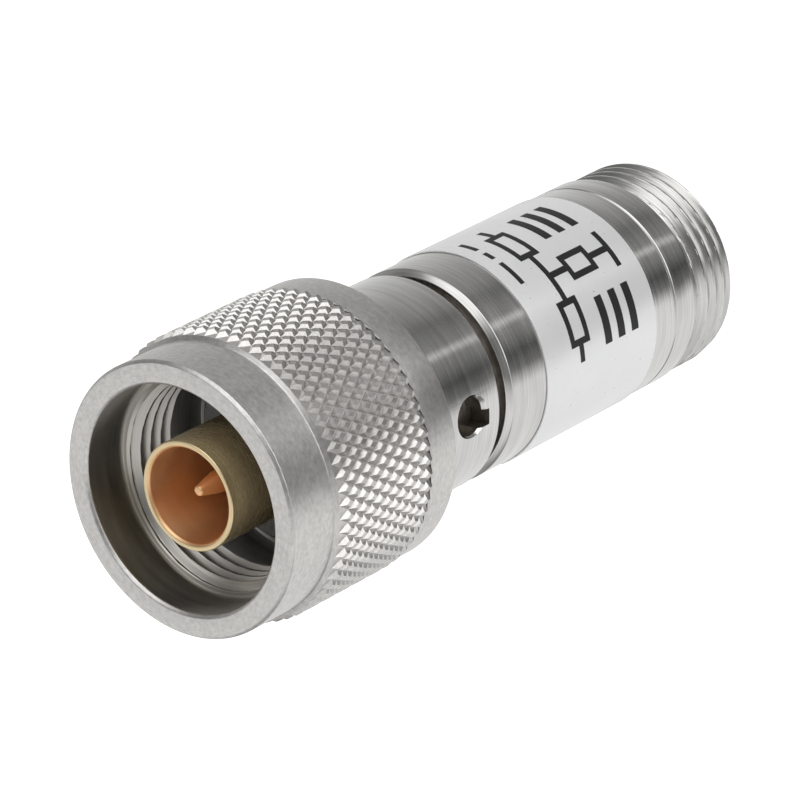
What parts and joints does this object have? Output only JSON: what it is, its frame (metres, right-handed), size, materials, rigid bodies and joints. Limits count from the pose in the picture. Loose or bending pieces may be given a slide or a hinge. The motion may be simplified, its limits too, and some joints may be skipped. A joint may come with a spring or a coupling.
{
  "type": "coaxial rf attenuator",
  "caption": "In-line coaxial attenuator with a knurled free-turning coupling nut on its plug end, a slim labelled steel body and a threaded jack end.",
  "frame": {"origin": "centre of the jack's end face, on which the part stands", "axes": "+Z along the axis from the jack end up to the plug end; -Y towards the spanner hole of the lock collar"},
  "size_m": [0.0212, 0.0212, 0.0542],
  "materials": {
    "steel": "turned stainless steel with a satin sheen and fine turning lines",
    "gold_plating": "gold plating over brass",
    "label_film": "white satin film",
    "bead_polymer": "machined insulator",
    "resistor_ceramic": "film resistor on ceramic"
  },
  "bodies": {
    "attenuator": {"lock_collar": "steel", "plug_body": "steel", "plug_outer_contact": "gold_plating", "plug_center_pin": "gold_plating", "plug_bead": "bead_polymer", "spring_washer": "steel", "plug_line_tube": "steel", "plug_contact_bellows": "gold_plating", "plug_series_rod": "resistor_ceramic", "shunt_disc": "resistor_ceramic", "disc_hub": "gold_plating", "jack_series_rod": "resistor_ceramic", "jack_contact_bellows": "gold_plating", "jack_line_tube": "steel", "jack_bead": "bead_polymer", "jack_center_contact": "gold_plating", "jack_body": "steel", "body_tube": "steel", "film_label": "label_film"},
    "nut": {"coupling_nut": "steel"}
  },
  "joints": [
    {"name": "nut_spin", "type": "hinge", "parent": "attenuator", "child": "nut", "pos_m": [0, 0, 0.046], "axis": [0, 0, 1], "continuous": true}
  ]
}
